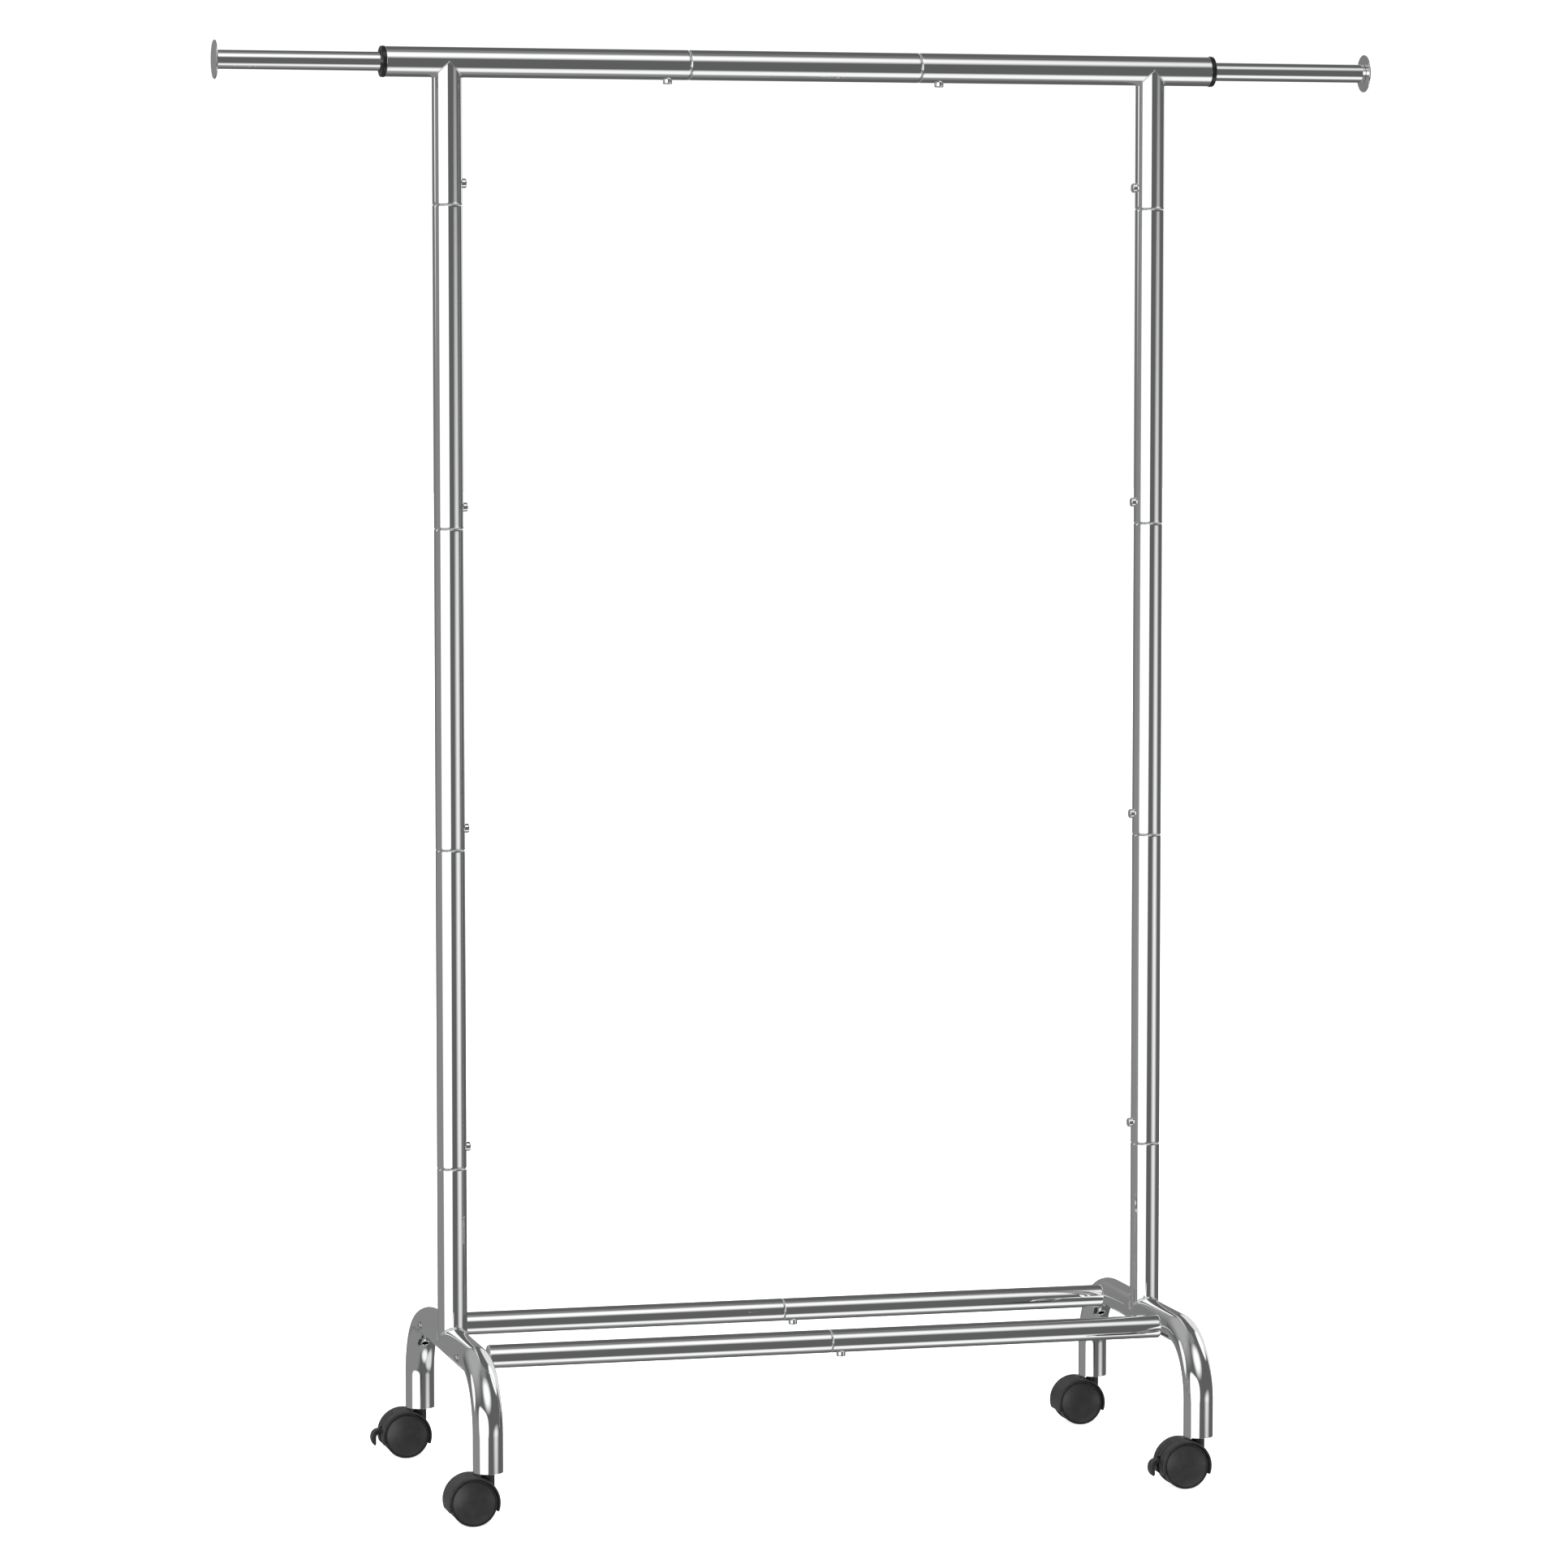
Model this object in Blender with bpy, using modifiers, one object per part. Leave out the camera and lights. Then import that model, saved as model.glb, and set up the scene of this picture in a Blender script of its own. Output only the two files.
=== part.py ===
"""Rolling clothes rack: a knock-down frame of plated steel tube on four twin-wheel casters.

Metres, +Z up, +X along the hanging bar, -Y is the front. The origin is on the floor, under the
middle of the rack. Every sub-part is one named object in the collection "rolling_clothes_rack".
"""
import math

import bmesh
import bpy
from mathutils import Matrix, Vector

MM = 0.001
GAP = 0.3 * MM                       # clearance between pieces that touch

# Frame
BAR_Z = 1532 * MM                    # axis of the hanging bar
UPRIGHT_X = 392 * MM                 # axis of each upright
TUBE_R = 16 * MM                     # main tube, outside
TUBE_WALL = 1.2 * MM
BAR_MOUTH_X = 459 * MM               # open end of the hanging bar
BAR_SEAM_X = 128 * MM                # joint between the centre bar and a top tee
SEAM_Z = [349 * MM, 693 * MM, 1037 * MM, 1381 * MM]
MALE_LENGTH = 44 * MM                # swaged end that plugs into the next tube
MALE_WALL = 1.2 * MM
SEAM_TO_BUTTON = 23 * MM

# Leg arches
ARCH_Z = 161 * MM
LEG_Y = 189 * MM
LEG_BOTTOM_Z = 54.5 * MM
BEND_R = 68 * MM                     # centreline radius of the two bends
VENT_R = 4 * MM
VENT_ANGLE = math.radians(48)        # up from the leg side of the bend

# Bottom rails
RAIL_Y = 103 * MM
RAIL_R = 12.5 * MM
RAIL_WALL = 1.0 * MM
RAIL_END_X = 374.5 * MM
RAIL_MALE_LENGTH = 30 * MM
RAIL_SEAM_X = 2.2 * MM               # joint between the two halves of each rail
RAIL_SEAM_TO_BUTTON = 12.2 * MM
BOLT_R = 3 * MM
BOLT_HEAD_R = 4.4 * MM
BOLT_HEAD_H = 1.8 * MM
BOLT_GRIP = 26 * MM                  # thread engaged in the rail's plugged end

# Snap buttons
BUTTON_R = 5 * MM
BUTTON_PROUD = 4.4 * MM
BUTTON_FLANGE_R = 6.4 * MM
BUTTON_FLANGE_H = 0.8 * MM

# Extending rods
ROD_R = 10 * MM
ROD_WALL = 1 * MM
ROD_OUT = 177 * MM                   # from the collar's face to the end disc, as it stands
ROD_IN = 106 * MM                    # still inside the bar, from the collar's face
ROD_STOP_R = 12.5 * MM
ROD_STOP_LENGTH = 5 * MM
DISC_R = 20.4 * MM
DISC_THICKNESS = 1.8 * MM
COLLAR_LIP = 5 * MM
COLLAR_LIP_R = 16.6 * MM
COLLAR_DEPTH = 35 * MM               # bush inside the bar
SLIDING_GAP = 0.25 * MM

# Casters
WHEEL_R = 25 * MM
WHEEL_WIDTH = 12.2 * MM
WHEEL_INNER_Y = 6.6 * MM             # inner face of each twin wheel, from the caster's middle
WHEEL_DISC_R = 22.6 * MM
TRAIL = 17.7 * MM                    # axle behind the swivel axis, towards -X
AXLE_R = 3 * MM
HOOD_R = 27.9 * MM
HOOD_WALL = 2.2 * MM
HOOD_HALF_WIDTH = 18.2 * MM
HOOD_WEB_HALF = 5.8 * MM
HOOD_LOW_Z = 16 * MM                 # lower edge of the hood
NECK_R = 7.0 * MM
STEM_R = 4.2 * MM
STEM_LOW_Z = 40 * MM
SLEEVE_TOP_Z = 84 * MM
AXLE_HALF_LENGTH = 16.8 * MM

# Brake levers
LEVER_HALF_WIDTH = 4 * MM
LEVER_TAB_HALF_WIDTH = 6.5 * MM
LEVER_PIVOT = (-23 * MM, 4.5 * MM)   # from the axle, along X and Z
TRUNNION_R = 1.4 * MM
TRUNNION_REACH = 5.2 * MM

TUBE_SIDES = 16
SMALL_SIDES = 12
WHEEL_SIDES = 20
BEND_STEPS = 6
MERGE = 0.00001
SIDES = {"left": -1, "right": 1}
ENDS = {"front": -1, "rear": 1}

X_AXIS = Vector((1, 0, 0))
Y_AXIS = Vector((0, 1, 0))
Z_AXIS = Vector((0, 0, 1))


# ---------------------------------------------------------------- scene, materials, collections

def clear_scene():
    for thing in list(bpy.data.objects):
        bpy.data.objects.remove(thing, do_unlink=True)


def new_collection(name):
    collection = bpy.data.collections.new(name)
    bpy.context.scene.collection.children.link(collection)
    return collection


def new_material(name, colour, roughness, metallic):
    material = bpy.data.materials.new(name)
    material.use_nodes = True
    shader = material.node_tree.nodes["Principled BSDF"]
    shader.inputs["Base Color"].default_value = (*colour, 1)
    shader.inputs["Roughness"].default_value = roughness
    shader.inputs["Metallic"].default_value = metallic
    material.diffuse_color = (*colour, 1)
    return material


# ------------------------------------------------------------------------------- mesh helpers

def keep(mesh, name, material=None, sharp_angle=35):
    """Links a mesh as a finished part."""
    thing = bpy.data.objects.new(name, mesh)
    parts.objects.link(thing)
    if material is not None:
        mesh.materials.clear()
        mesh.materials.append(material)
    mesh.shade_smooth()
    mesh.set_sharp_from_angle(angle=math.radians(sharp_angle))
    return thing


def turned(name, profile, sides, centre, axis, collection, turn=0.0):
    """A profile of (radius, height) points, turned about an axis with a Screw modifier.

    The points run down the outer side and back up the bore, so that the faces point out.
    """
    outline = bmesh.new()
    rows = [outline.verts.new((radius, 0, height)) for radius, height in profile]
    closed = profile[0][0] > 0
    for first, second in zip(rows, rows[1:]):
        outline.edges.new((first, second))
    if closed:
        outline.edges.new((rows[-1], rows[0]))
    mesh = bpy.data.meshes.new(name)
    outline.to_mesh(mesh)
    outline.free()
    thing = bpy.data.objects.new(name, mesh)
    collection.objects.link(thing)
    place = Z_AXIS.rotation_difference(axis).to_matrix().to_4x4()
    thing.matrix_world = Matrix.Translation(centre) @ place @ Matrix.Rotation(turn, 4, "Z")
    screw = thing.modifiers.new("turn", "SCREW")
    screw.steps = sides
    screw.render_steps = sides
    screw.use_merge_vertices = True
    screw.merge_threshold = MERGE
    screw.use_smooth_shade = False
    return thing


def rod_profile(radius, low, high, chamfer=0.0):
    """Half section of a solid pin between two heights."""
    if chamfer:
        return [(0, high), (radius - chamfer, high), (radius, high - chamfer),
                (radius, low + chamfer), (radius - chamfer, low), (0, low)]
    return [(0, high), (radius, high), (radius, low), (0, low)]


def pin_cutter(name, radius, centre, axis, low, high, sides=SMALL_SIDES):
    return turned(name, rod_profile(radius, low, high), sides, centre, axis, cutters)


def box_cutter(name, low, high):
    """A rectangular cutter between two corners."""
    box = bmesh.new()
    bmesh.ops.create_cube(box, size=1)
    size = Vector(high) - Vector(low)
    bmesh.ops.scale(box, vec=size, verts=box.verts)
    bmesh.ops.translate(box, vec=(Vector(high) + Vector(low)) / 2, verts=box.verts)
    mesh = bpy.data.meshes.new(name)
    box.to_mesh(mesh)
    box.free()
    thing = bpy.data.objects.new(name, mesh)
    cutters.objects.link(thing)
    return thing


def swept_tube(name, points, radius, bend_r, collection):
    """A bent round bar through corner points, each corner rounded, as one closed mesh."""
    route = [Vector(points[0])]
    for before, corner, after in zip(points, points[1:], points[2:]):
        before, corner, after = Vector(before), Vector(corner), Vector(after)
        arrive = (corner - before).normalized()
        leave = (after - corner).normalized()
        start = corner - arrive * bend_r
        centre = start + leave * bend_r
        for step in range(BEND_STEPS + 1):
            angle = math.pi / 2 * step / BEND_STEPS
            route.append(centre - leave * bend_r * math.cos(angle) + arrive * bend_r * math.sin(angle))
    route.append(Vector(points[-1]))
    curve = bpy.data.curves.new(name, "CURVE")
    curve.dimensions = "3D"
    curve.bevel_depth = radius
    curve.bevel_resolution = (TUBE_SIDES - 4) // 2
    curve.use_fill_caps = True
    spline = curve.splines.new("POLY")
    spline.points.add(len(route) - 1)
    for point, place in zip(spline.points, route):
        point.co = (*place, 1)
    guide = bpy.data.objects.new(name, curve)
    collection.objects.link(guide)
    bpy.context.view_layer.update()
    evaluated = guide.evaluated_get(bpy.context.evaluated_depsgraph_get())
    mesh = bpy.data.meshes.new_from_object(evaluated)
    bpy.data.objects.remove(guide, do_unlink=True)
    welded = bmesh.new()
    welded.from_mesh(mesh)
    bmesh.ops.remove_doubles(welded, verts=welded.verts, dist=MERGE)
    bmesh.ops.recalc_face_normals(welded, faces=welded.faces)
    welded.to_mesh(mesh)
    welded.free()
    thing = bpy.data.objects.new(name, mesh)
    collection.objects.link(thing)
    return thing


def weld(mesh):
    """Merges the corners that Booleans leave on top of each other."""
    welded = bmesh.new()
    welded.from_mesh(mesh)
    bmesh.ops.remove_doubles(welded, verts=welded.verts, dist=MERGE)
    bmesh.ops.dissolve_degenerate(welded, edges=welded.edges, dist=MERGE)
    welded.to_mesh(mesh)
    welded.free()


def combine(target, others, operation, solver="EXACT"):
    """Adds a Boolean for each other object. Where tubes of one size cross, MANIFOLD is needed."""
    for other in others:
        cut = target.modifiers.new(operation.lower() + "_" + other.name, "BOOLEAN")
        cut.operation = operation
        cut.solver = solver
        cut.object = other


def solid(target, name, material, sharp_angle=35):
    """Applies what is on an object and keeps the result as a finished part in world space."""
    bpy.context.view_layer.update()
    evaluated = target.evaluated_get(bpy.context.evaluated_depsgraph_get())
    mesh = bpy.data.meshes.new_from_object(evaluated)
    mesh.transform(target.matrix_world)
    bpy.data.objects.remove(target, do_unlink=True)
    weld(mesh)
    return keep(mesh, name, material, sharp_angle)


def set_origin(thing, origin):
    """Moves an object's origin to its joint's axis and leaves its shape where it is."""
    thing.data.transform(Matrix.Translation(-Vector(origin)))
    thing.location = origin


# ---------------------------------------------------------------------------------- the frame

def button_hole(name, radius, centre, axis):
    """Cutter for the hole that a snap button passes through, on one side of a tube."""
    return pin_cutter(name, BUTTON_R + GAP, centre, axis, radius - 6 * MM, radius + 4 * MM)


def section_profile(radius, wall, male_wall, male_length, low, seam):
    """Half section of a straight tube whose upper end is drawn down to plug into the next one."""
    male_r = radius - wall - GAP
    return [(male_r - 0.6 * MM, seam + male_length), (male_r, seam + male_length - 1.5 * MM),
            (male_r, seam), (radius - 0.7 * MM, seam), (radius, seam - 0.9 * MM),
            (radius, low + 0.9 * MM), (radius - 0.7 * MM, low), (radius - wall, low),
            (radius - wall, seam - 4 * MM), (male_r - male_wall, seam + 3 * MM),
            (male_r - male_wall, seam + male_length)]


def build_uprights():
    """Three plug-together sections a side, each with a swaged upper end."""
    names = ["lower", "middle", "upper"]
    for side, sign in SIDES.items():
        inward = Vector((-sign, 0, 0))
        for name, low, seam in zip(names, SEAM_Z, SEAM_Z[1:]):
            profile = section_profile(TUBE_R, TUBE_WALL, MALE_WALL, MALE_LENGTH, low + GAP, seam)
            tube = turned("tube", profile, TUBE_SIDES, (sign * UPRIGHT_X, 0, 0), Z_AXIS, parts)
            holes = []
            for height in (low, seam):
                centre = (sign * UPRIGHT_X, 0, height + SEAM_TO_BUTTON)
                holes.append(button_hole(f"{side}_{name}_hole_{len(holes)}", TUBE_R, centre, inward))
            combine(tube, holes, "DIFFERENCE")
            solid(tube, f"{side}_upright_{name}", chrome)


def build_top_tees():
    """Each tee is an end of the hanging bar with a short upright stub welded under it."""
    bore = TUBE_R - TUBE_WALL
    seam = SEAM_Z[3] + GAP
    for side, sign in SIDES.items():
        outward = Vector((sign, 0, 0))
        tee = turned("tee", rod_profile(TUBE_R, BAR_SEAM_X + GAP, BAR_MOUTH_X, 0.6 * MM),
                     TUBE_SIDES, (0, 0, BAR_Z), outward, parts)
        stub_top = BAR_Z - TUBE_R / 2
        stub = turned(side + "_stub", rod_profile(TUBE_R - 0.05 * MM, seam, stub_top),
                      TUBE_SIDES, (sign * UPRIGHT_X, 0, 0), Z_AXIS, cutters)
        combine(tee, [stub], "UNION", "MANIFOLD")
        bar_bore = pin_cutter(side + "_bar_bore", bore, (0, 0, BAR_Z), outward,
                              BAR_SEAM_X - 5 * MM, BAR_MOUTH_X + 5 * MM, TUBE_SIDES)
        stub_bore = pin_cutter(side + "_stub_bore", bore - 0.05 * MM, (sign * UPRIGHT_X, 0, 0), Z_AXIS,
                               seam - 5 * MM, stub_top, TUBE_SIDES)
        bar_hole = button_hole(side + "_bar_hole", TUBE_R,
                               (sign * (BAR_SEAM_X + SEAM_TO_BUTTON), 0, BAR_Z), -Z_AXIS)
        stub_hole = button_hole(side + "_stub_hole", TUBE_R,
                                (sign * UPRIGHT_X, 0, SEAM_Z[3] + SEAM_TO_BUTTON), -outward)
        combine(tee, [bar_bore, stub_bore, bar_hole, stub_hole], "DIFFERENCE", "MANIFOLD")
        solid(tee, side + "_top_tee", chrome)


def build_centre_bar():
    """Middle of the hanging bar: both ends are drawn down to plug into the tees."""
    bore = TUBE_R - TUBE_WALL
    male_r = bore - GAP
    male_bore = male_r - MALE_WALL
    tip = BAR_SEAM_X + MALE_LENGTH
    half = [(male_r - 0.6 * MM, tip), (male_r, tip - 1.5 * MM), (male_r, BAR_SEAM_X),
            (TUBE_R - 0.7 * MM, BAR_SEAM_X), (TUBE_R, BAR_SEAM_X - 0.9 * MM)]
    inner = [(male_bore, tip), (male_bore, BAR_SEAM_X + 3 * MM), (bore, BAR_SEAM_X - 4 * MM)]
    outside = half + [(radius, -place) for radius, place in reversed(half)]
    inside = [(radius, -place) for radius, place in inner] + list(reversed(inner))
    bar = turned("bar", outside + inside, TUBE_SIDES, (0, 0, BAR_Z), X_AXIS, parts)
    holes = []
    for side, sign in SIDES.items():
        centre = (sign * (BAR_SEAM_X + SEAM_TO_BUTTON), 0, BAR_Z)
        holes.append(button_hole(side + "_centre_hole", TUBE_R, centre, -Z_AXIS))
    combine(bar, holes, "DIFFERENCE")
    solid(bar, "centre_bar", chrome)


def build_leg_frames():
    """Each leg frame is one bent tube, an upside-down U, with a stub welded on for the upright."""
    bore = TUBE_R - TUBE_WALL
    male_r = bore - GAP
    for side, sign in SIDES.items():
        x = sign * UPRIGHT_X
        inward = Vector((-sign, 0, 0))
        corners = [(x, -LEG_Y, LEG_BOTTOM_Z), (x, -LEG_Y, ARCH_Z), (x, LEG_Y, ARCH_Z),
                   (x, LEG_Y, LEG_BOTTOM_Z)]
        arch = swept_tube("arch", corners, TUBE_R, BEND_R, parts)
        stub_profile = [(0, SEAM_Z[0] + MALE_LENGTH), (male_r, SEAM_Z[0] + MALE_LENGTH),
                        (male_r, SEAM_Z[0]), (TUBE_R - 0.75 * MM, SEAM_Z[0]),
                        (TUBE_R - 0.05 * MM, SEAM_Z[0] - 0.9 * MM),
                        (TUBE_R - 0.05 * MM, ARCH_Z + 4 * MM), (0, ARCH_Z + 4 * MM)]
        stub = turned(side + "_leg_stub", stub_profile, TUBE_SIDES, (x, 0, 0), Z_AXIS, cutters)
        combine(arch, [stub], "UNION", "MANIFOLD")
        open_ends = [(x, -LEG_Y, LEG_BOTTOM_Z - 5 * MM), *corners[1:3],
                     (x, LEG_Y, LEG_BOTTOM_Z - 5 * MM)]
        arch_bore = swept_tube(side + "_arch_bore", open_ends, bore, BEND_R, cutters)
        stub_bore = pin_cutter(side + "_leg_stub_bore", male_r - MALE_WALL, (x, 0, 0), Z_AXIS,
                               ARCH_Z + 2 * MM, SEAM_Z[0] + MALE_LENGTH + 5 * MM, TUBE_SIDES)
        hole = button_hole(side + "_leg_button_hole", TUBE_R,
                           (x, 0, SEAM_Z[0] + SEAM_TO_BUTTON), inward)
        holes = [arch_bore, stub_bore, hole]
        for end, front in ENDS.items():
            holes.append(pin_cutter(f"{side}_{end}_bolt_hole", BOLT_R + GAP,
                                    (x, front * RAIL_Y, ARCH_Z), X_AXIS, -20 * MM, 20 * MM))
            towards = Vector((0, front * math.cos(VENT_ANGLE), math.sin(VENT_ANGLE)))
            bend_centre = Vector((x, front * (LEG_Y - BEND_R), ARCH_Z - BEND_R))
            inner_side = BEND_R - TUBE_R
            holes.append(pin_cutter(f"{side}_{end}_vent", VENT_R, bend_centre, towards,
                                    inner_side - 6 * MM, inner_side + 6 * MM, 12))
        combine(arch, holes, "DIFFERENCE", "MANIFOLD")
        solid(arch, side + "_leg_frame", chrome)


def build_rails():
    """Two bottom rails, each in two halves; the left half plugs into the right half."""
    for end, front in ENDS.items():
        centre = (0, front * RAIL_Y, ARCH_Z)
        seam = RAIL_SEAM_X
        hole_centre = (seam + RAIL_SEAM_TO_BUTTON, front * RAIL_Y, ARCH_Z)
        male_r = RAIL_R - RAIL_WALL - GAP
        male_bore = male_r - RAIL_WALL
        plug = 30 * MM                                   # depth of the threaded plug in the end
        thread = BOLT_R + 0.2 * MM
        left = [(male_r, seam + RAIL_MALE_LENGTH), (male_r, seam), (RAIL_R - 0.6 * MM, seam),
                (RAIL_R, seam - 0.8 * MM),
                (RAIL_R, -RAIL_END_X + 1.2 * MM), (RAIL_R - 1.2 * MM, -RAIL_END_X),
                (thread, -RAIL_END_X), (thread, -RAIL_END_X + plug),
                (male_bore, -RAIL_END_X + plug), (male_bore, seam + RAIL_MALE_LENGTH)]
        right = [(RAIL_R - 1.2 * MM, RAIL_END_X), (RAIL_R, RAIL_END_X - 1.2 * MM),
                 (RAIL_R, seam + GAP + 0.8 * MM), (RAIL_R - 0.6 * MM, seam + GAP),
                 (RAIL_R - RAIL_WALL, seam + GAP),
                 (RAIL_R - RAIL_WALL, RAIL_END_X - plug), (thread, RAIL_END_X - plug),
                 (thread, RAIL_END_X)]
        for half, profile in (("left", left), ("right", right)):
            rail = turned("rail", profile, TUBE_SIDES, centre, X_AXIS, parts)
            hole = button_hole(f"{end}_{half}_rail_hole", RAIL_R, hole_centre, -Z_AXIS)
            combine(rail, [hole], "DIFFERENCE")
            solid(rail, f"{end}_rail_{half}", chrome)


def build_rail_bolts():
    """A domed bolt through each arch into the plugged end of each rail."""
    head_base = TUBE_R + GAP
    reach = UPRIGHT_X - RAIL_END_X + BOLT_GRIP
    for side, sign in SIDES.items():
        for end, front in ENDS.items():
            profile = [(0, head_base + BOLT_HEAD_H), (BOLT_HEAD_R * 0.6, head_base + BOLT_HEAD_H),
                       (BOLT_HEAD_R, head_base + BOLT_HEAD_H * 0.4), (BOLT_HEAD_R, head_base),
                       (BOLT_R, head_base), (BOLT_R, -reach), (0, -reach)]
            bolt = turned("bolt", profile, 12, (sign * UPRIGHT_X, front * RAIL_Y, ARCH_Z),
                          Vector((sign, 0, 0)), parts)
            solid(bolt, f"{end}_{side}_rail_bolt", zinc)


def build_snap_button(name, centre, outward, tube_r, male_bore):
    """A sprung button in a plugged end: a round pin with a foot that rests inside the tube."""
    foot_r = BUTTON_FLANGE_R if tube_r > RAIL_R else BUTTON_FLANGE_R - 0.6 * MM
    foot_top = math.sqrt(male_bore ** 2 - foot_r ** 2) - GAP
    head = tube_r + BUTTON_PROUD
    edge = 1.1 * MM
    profile = [(0, head), (BUTTON_R - edge, head), (BUTTON_R, head - edge), (BUTTON_R, foot_top),
               (foot_r, foot_top), (foot_r, foot_top - BUTTON_FLANGE_H), (0, foot_top - BUTTON_FLANGE_H)]
    button = turned("button", profile, SMALL_SIDES, centre, outward, parts)
    thing = solid(button, name, chrome)
    set_origin(thing, centre)


def build_snap_buttons():
    male_bore = TUBE_R - TUBE_WALL - GAP - MALE_WALL
    for side, sign in SIDES.items():
        for number, seam in enumerate(SEAM_Z, start=1):
            build_snap_button(f"{side}_button_{number}", (sign * UPRIGHT_X, 0, seam + SEAM_TO_BUTTON),
                              Vector((-sign, 0, 0)), TUBE_R, male_bore)
        build_snap_button(f"{side}_bar_button", (sign * (BAR_SEAM_X + SEAM_TO_BUTTON), 0, BAR_Z),
                          -Z_AXIS, TUBE_R, male_bore)
    rail_bore = RAIL_R - 2 * RAIL_WALL - GAP
    for end, front in ENDS.items():
        centre = (RAIL_SEAM_X + RAIL_SEAM_TO_BUTTON, front * RAIL_Y, ARCH_Z)
        build_snap_button(f"{end}_rail_button", centre, -Z_AXIS, RAIL_R, rail_bore)


# ------------------------------------------------------------------------- the extending rods

def build_rods():
    """A thinner tube slides out of each end of the bar, through a plastic collar."""
    face = BAR_MOUTH_X + COLLAR_LIP
    for side, sign in SIDES.items():
        outward = Vector((sign, 0, 0))
        inner_end = face - ROD_IN
        outer_end = face + ROD_OUT - DISC_THICKNESS - GAP
        rod = turned("rod", [(ROD_R, outer_end), (ROD_R, inner_end + ROD_STOP_LENGTH),
                             (ROD_STOP_R, inner_end + ROD_STOP_LENGTH), (ROD_STOP_R, inner_end),
                             (ROD_R - ROD_WALL, inner_end), (ROD_R - ROD_WALL, outer_end)],
                     TUBE_SIDES, (0, 0, BAR_Z), outward, parts)
        thing = solid(rod, side + "_slide_rod", chrome)
        set_origin(thing, (sign * face, 0, BAR_Z))

        disc_low = face + ROD_OUT - DISC_THICKNESS
        disc_high = face + ROD_OUT
        spigot_r = ROD_R - ROD_WALL - GAP
        disc = turned("disc", [(0, disc_high), (DISC_R - 0.5 * MM, disc_high),
                               (DISC_R, disc_high - 0.5 * MM), (DISC_R, disc_low + 0.5 * MM),
                               (DISC_R - 0.5 * MM, disc_low), (spigot_r, disc_low),
                               (spigot_r, disc_low - 10 * MM), (0, disc_low - 10 * MM)],
                      WHEEL_SIDES, (0, 0, BAR_Z), outward, parts)
        thing = solid(disc, side + "_end_disc", chrome)
        set_origin(thing, (sign * disc_high, 0, BAR_Z))

        bush_r = TUBE_R - TUBE_WALL - GAP
        bore = ROD_R + SLIDING_GAP
        lip_base = BAR_MOUTH_X + GAP
        collar = turned("collar", [(bore + 1.5 * MM, face), (COLLAR_LIP_R - 1.4 * MM, face),
                                   (COLLAR_LIP_R, face - 1.4 * MM), (COLLAR_LIP_R, lip_base),
                                   (bush_r, lip_base), (bush_r, BAR_MOUTH_X - COLLAR_DEPTH),
                                   (bore, BAR_MOUTH_X - COLLAR_DEPTH), (bore, face - 1.0 * MM)],
                        TUBE_SIDES, (0, 0, BAR_Z), outward, parts)
        solid(collar, side + "_collar", black)


# --------------------------------------------------------------------------------- the casters

def build_stem(name, swivel):
    """A plastic sleeve pressed into the leg, with the steel pin that the hood turns on."""
    sleeve_r = TUBE_R - TUBE_WALL - GAP
    low = LEG_BOTTOM_Z + 0.2 * MM
    profile = [(0, SLEEVE_TOP_Z), (sleeve_r - 1.5 * MM, SLEEVE_TOP_Z),
               (sleeve_r, SLEEVE_TOP_Z - 3 * MM), (sleeve_r, low), (STEM_R, low),
               (STEM_R, STEM_LOW_Z + 1 * MM), (STEM_R - 1 * MM, STEM_LOW_Z), (0, STEM_LOW_Z)]
    stem = turned("stem", profile, TUBE_SIDES, swivel, Z_AXIS, parts)
    solid(stem, name + "_stem", black)


def build_hood(name, swivel, axle, braked):
    """A moulded hood over the twin wheels: shell, middle web, and the neck that turns on the stem."""
    hood = turned("hood", rod_profile(HOOD_R, -HOOD_HALF_WIDTH, HOOD_HALF_WIDTH, 1.2 * MM),
                  WHEEL_SIDES, axle, Y_AXIS, parts)
    neck_top = LEG_BOTTOM_Z - 0.3 * MM
    neck = turned(name + "_neck", rod_profile(NECK_R, axle[2], neck_top), SMALL_SIDES,
                  swivel, Z_AXIS, cutters)
    combine(hood, [neck], "UNION", "MANIFOLD")
    well_r = HOOD_R - HOOD_WALL
    cuts = []
    for end, front in ENDS.items():
        cuts.append(pin_cutter(f"{name}_{end}_well", well_r, axle, Vector((0, front, 0)),
                               HOOD_WEB_HALF, HOOD_HALF_WIDTH + 5 * MM, WHEEL_SIDES))
    x, y, z = axle
    cuts.append(box_cutter(name + "_underside", (x - 40 * MM, y - 30 * MM, z - 40 * MM),
                           (x + 40 * MM, y + 30 * MM, HOOD_LOW_Z)))
    cuts.append(pin_cutter(name + "_stem_bore", STEM_R + GAP, swivel, Z_AXIS,
                           STEM_LOW_Z - 1 * MM, neck_top + 5 * MM))
    cuts.append(pin_cutter(name + "_axle_bore", AXLE_R + 0.1 * MM, axle, Y_AXIS, -30 * MM, 30 * MM))
    if braked:
        slot = LEVER_HALF_WIDTH + 0.4 * MM
        cuts.append(box_cutter(name + "_lever_slot", (x - 32 * MM, y - slot, z - 8 * MM),
                               (x - 19 * MM, y + slot, z + 9.5 * MM)))
        pivot = (x + LEVER_PIVOT[0], y, z + LEVER_PIVOT[1])
        reach = TRUNNION_REACH + 0.3 * MM
        cuts.append(pin_cutter(name + "_trunnion_bore", TRUNNION_R + 0.3 * MM, pivot, Y_AXIS,
                               -reach, reach, 12))
    combine(hood, cuts, "DIFFERENCE", "MANIFOLD")
    thing = solid(hood, name + "_hood", black)
    set_origin(thing, swivel)


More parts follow.
